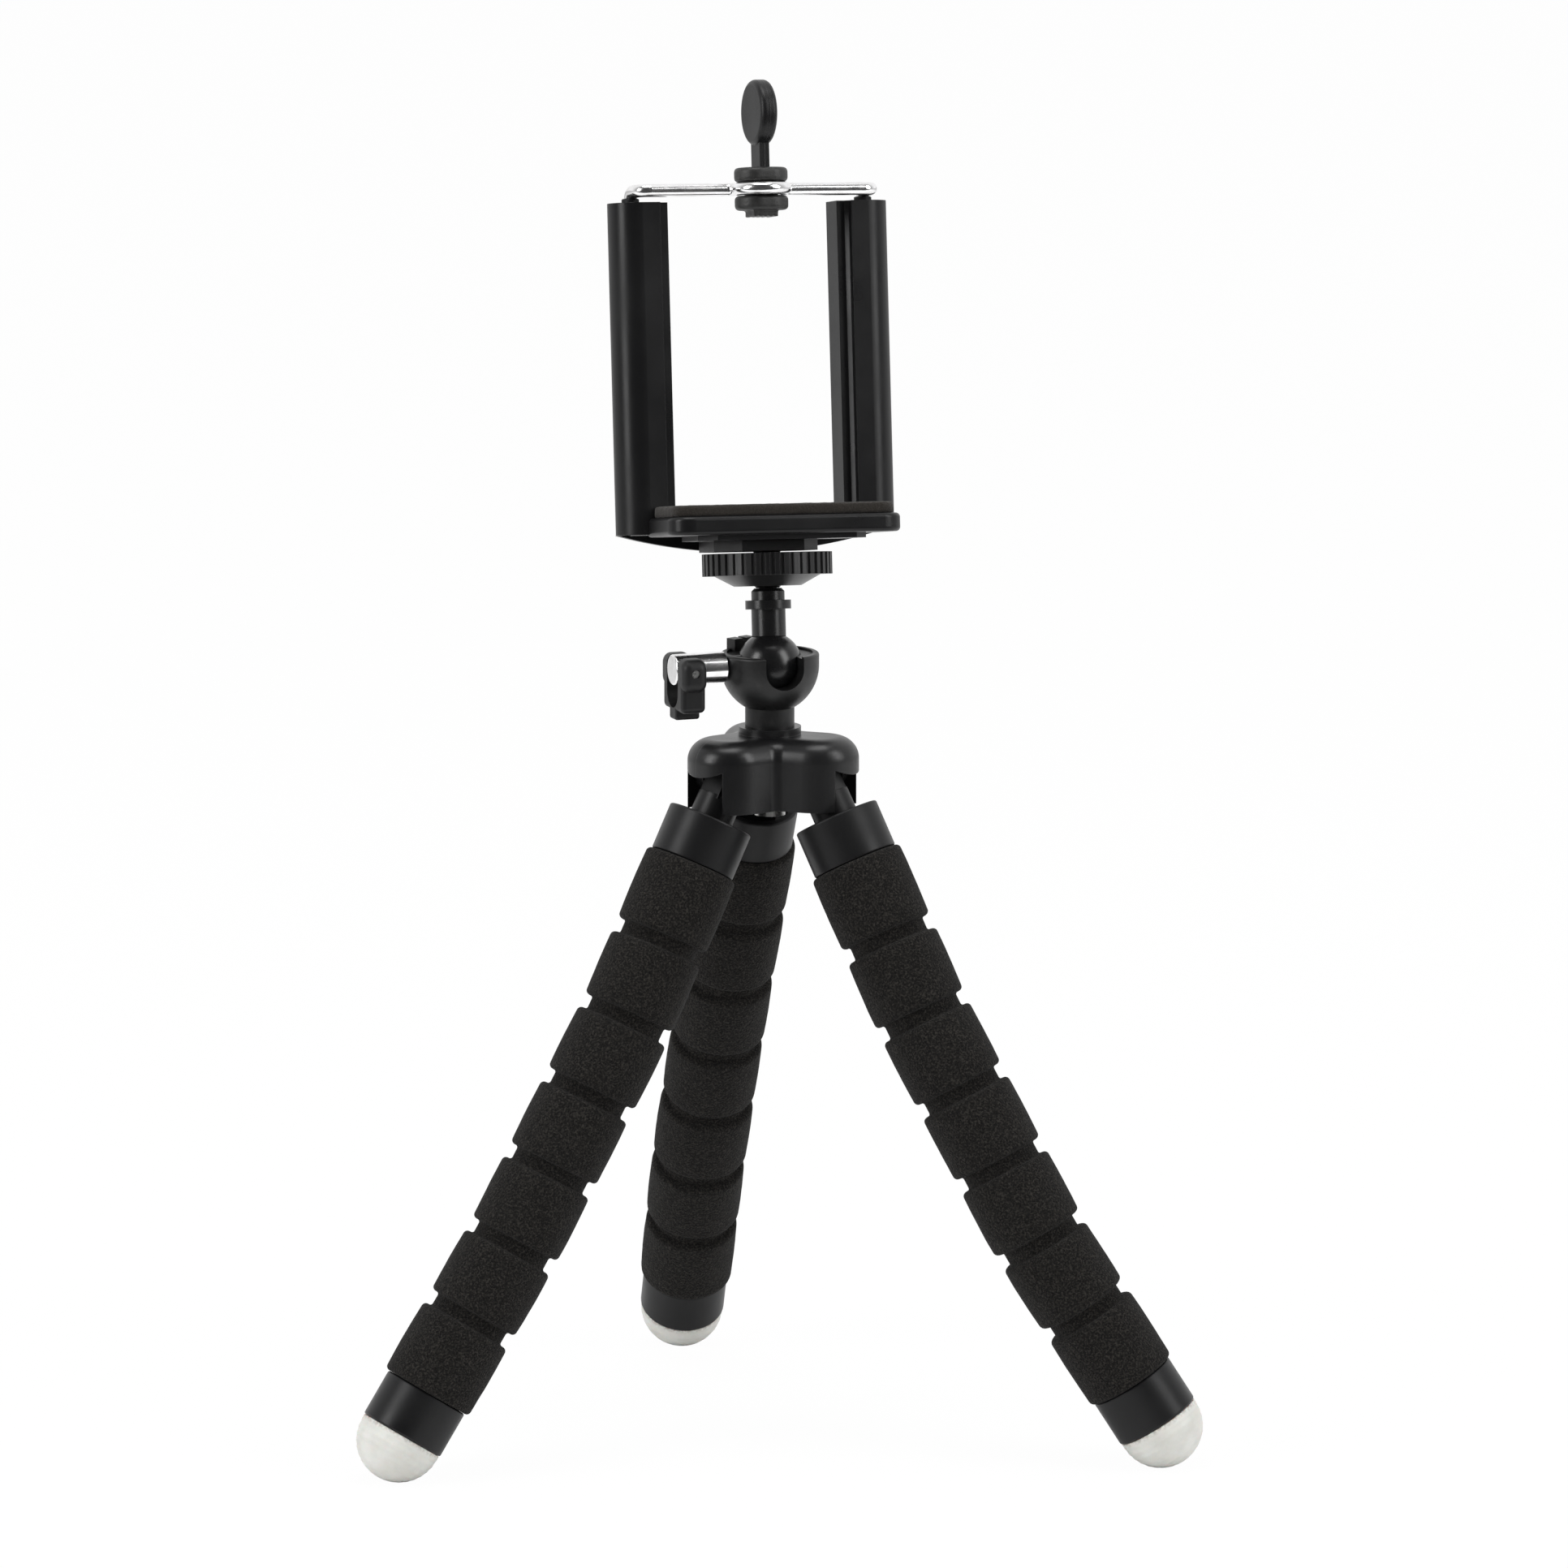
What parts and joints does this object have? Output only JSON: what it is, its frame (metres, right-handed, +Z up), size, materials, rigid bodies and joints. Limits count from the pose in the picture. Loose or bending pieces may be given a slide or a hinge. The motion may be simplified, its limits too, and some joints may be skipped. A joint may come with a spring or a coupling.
{
  "type": "phone tripod",
  "caption": "Table tripod with bendable foam-covered legs, a clamped ball head and a sprung holder for a phone.",
  "frame": {"origin": "centre of the whole object's footprint box, on the ground under the feet", "axes": "+Z up; +Y from the front to the back leg's side; the phone faces about 20 degrees from -Y towards +X; the head is laid back 9.2 degrees in its cup"},
  "size_m": [0.1896, 0.1532, 0.3075],
  "materials": {
    "hub_plastic": "satin moulded, dark grey",
    "socket_paint": "satin dark grey paint",
    "holder_plastic": "smooth moulded, dark grey",
    "foam": "closed-cell foam, fine grain",
    "pad_foam": "thin brown-black foam sheet",
    "white_rubber": "translucent white rubber",
    "grip_rubber": "matt dark grey rubber",
    "chrome": "bright plated",
    "steel": "machined",
    "brass": "machined",
    "core_wire": "soft bendable wire"
  },
  "bodies": {
    "base": {"hub_shell": "hub_plastic", "hub_hinge_pins": "steel", "socket_screw": "steel", "ball_socket": "socket_paint"},
    "ball_body": {"ball": "hub_plastic"},
    "stem_body": {"stem": "socket_paint", "thread_stud": "steel"},
    "wheel_body": {"locking_wheel": "hub_plastic"},
    "holder_body": {"holder_base": "holder_plastic", "foam_pad": "pad_foam", "threaded_insert": "brass", "column_left": "holder_plastic", "column_right": "holder_plastic", "spring_left": "steel", "spring_right": "steel"},
    "bail_body": {"wire_bail": "chrome", "wire_end_washers": "steel", "grip_block": "grip_rubber", "finger_tab": "holder_plastic"},
    "clamp_pad_body": {"clamp_pad": "brass"},
    "clamp_body": {"clamp_barrel": "chrome", "clamp_screw": "steel", "knob_pin": "steel"},
    "knob_body": {"clamp_knob": "hub_plastic"},
    "leg_back_upper": {"neck_back": "hub_plastic", "top_collar_back": "hub_plastic", "foam_upper_back": "foam", "core_upper_back": "core_wire"},
    "leg_back_middle": {"foam_middle_back": "foam", "core_middle_back": "core_wire"},
    "leg_back_lower": {"foam_lower_back": "foam", "core_lower_back": "core_wire", "foot_collar_back": "hub_plastic", "foot_back": "white_rubber"},
    "leg_left_upper": {"neck_left": "hub_plastic", "top_collar_left": "hub_plastic", "foam_upper_left": "foam", "core_upper_left": "core_wire"},
    "leg_left_middle": {"foam_middle_left": "foam", "core_middle_left": "core_wire"},
    "leg_left_lower": {"foam_lower_left": "foam", "core_lower_left": "core_wire", "foot_collar_left": "hub_plastic", "foot_left": "white_rubber"},
    "leg_right_upper": {"neck_right": "hub_plastic", "top_collar_right": "hub_plastic", "foam_upper_right": "foam", "core_upper_right": "core_wire"},
    "leg_right_middle": {"foam_middle_right": "foam", "core_middle_right": "core_wire"},
    "leg_right_lower": {"foam_lower_right": "foam", "core_lower_right": "core_wire", "foot_collar_right": "hub_plastic", "foot_right": "white_rubber"}
  },
  "joints": [
    {"name": "ball_side_tilt", "type": "hinge", "parent": "base", "child": "ball_body", "pos_m": [-0.00249, -0.02403, 0.17762], "axis": [-0.342, 0.9397, 0], "range_deg": [-23.75, 20.25]},
    {"name": "ball_tilt", "type": "hinge", "parent": "ball_body", "child": "stem_body", "pos_m": [-0.00249, -0.02403, 0.17762], "axis": [0.9393, 0.3419, -0.0305], "range_deg": [-12.8, 99.2]},
    {"name": "wheel_turn", "type": "hinge", "parent": "stem_body", "child": "wheel_body", "pos_m": [-0.00295, -0.0212, 0.19499], "axis": [-0.0264, 0.1605, 0.9867], "continuous": true},
    {"name": "holder_turn", "type": "hinge", "parent": "stem_body", "child": "holder_body", "pos_m": [-0.00316, -0.01995, 0.20268], "axis": [-0.0264, 0.1605, 0.9867], "continuous": true},
    {"name": "bail_lift", "type": "slide", "parent": "holder_body", "child": "bail_body", "axis": [-0.0264, 0.1605, 0.9867], "range_m": [0, 0.022], "stiffness_N_per_m": 200, "springref_m": -0.02, "deforming": ["spring_left", "spring_right"]},
    {"name": "clamp_travel", "type": "slide", "parent": "base", "child": "clamp_pad_body", "axis": [-0.9397, -0.342, 0], "range_m": [0, 0.0008]},
    {"name": "clamp_turn", "type": "hinge", "parent": "clamp_pad_body", "child": "clamp_body", "pos_m": [-0.02439, -0.032, 0.17762], "axis": [-0.9397, -0.342, 0], "range_deg": [-360, 0]},
    {"name": "knob_flip", "type": "hinge", "parent": "clamp_body", "child": "knob_body", "pos_m": [-0.02157, -0.03097, 0.17762], "axis": [-0.342, 0.9397, 0], "range_deg": [0, 90]},
    {"name": "leg_back_swing", "type": "hinge", "parent": "base", "child": "leg_back_upper", "pos_m": [-0.00409, -0.01264, 0.15341], "axis": [0.9903, 0.1392, 0], "range_deg": [-22, 30]},
    {"name": "leg_back_bend_1", "type": "hinge", "parent": "leg_back_upper", "child": "leg_back_middle", "pos_m": [-0.01242, 0.01301, 0.10048], "axis": [-0.9703, -0.2419, 0], "range_deg": [-25, 25]},
    {"name": "leg_back_bend_2", "type": "hinge", "parent": "leg_back_middle", "child": "leg_back_lower", "pos_m": [-0.01918, 0.0401, 0.05113], "axis": [-0.9877, -0.1564, 0], "range_deg": [-25, 25]},
    {"name": "leg_left_swing", "type": "hinge", "parent": "base", "child": "leg_left_upper", "pos_m": [-0.01155, -0.03111, 0.15341], "axis": [-0.6157, 0.788, 0], "range_deg": [-22, 30]},
    {"name": "leg_left_bend_1", "type": "hinge", "parent": "leg_left_upper", "child": "leg_left_middle", "pos_m": [-0.03467, -0.045, 0.10048], "axis": [0.4067, -0.9135, 0], "range_deg": [-25, 25]},
    {"name": "leg_left_bend_2", "type": "hinge", "parent": "leg_left_middle", "child": "leg_left_lower", "pos_m": [-0.06017, -0.05635, 0.05113], "axis": [0.3907, -0.9205, 0], "range_deg": [-25, 25]},
    {"name": "leg_right_swing", "type": "hinge", "parent": "base", "child": "leg_right_upper", "pos_m": [0.00817, -0.02834, 0.15341], "axis": [-0.3746, -0.9272, 0], "range_deg": [-22, 30]},
    {"name": "leg_right_bend_1", "type": "hinge", "parent": "leg_right_upper", "child": "leg_right_middle", "pos_m": [0.03176, -0.04141, 0.10048], "axis": [0.3256, 0.9455, 0], "range_deg": [-25, 25]},
    {"name": "leg_right_bend_2", "type": "hinge", "parent": "leg_right_middle", "child": "leg_right_lower", "pos_m": [0.05816, -0.0505, 0.05113], "axis": [0.1045, 0.9945, 0], "range_deg": [-25, 25]}
  ],
  "couplings": [
    {"joint": "clamp_turn", "follows": "clamp_travel", "rad_per_m": -7853.9}
  ]
}
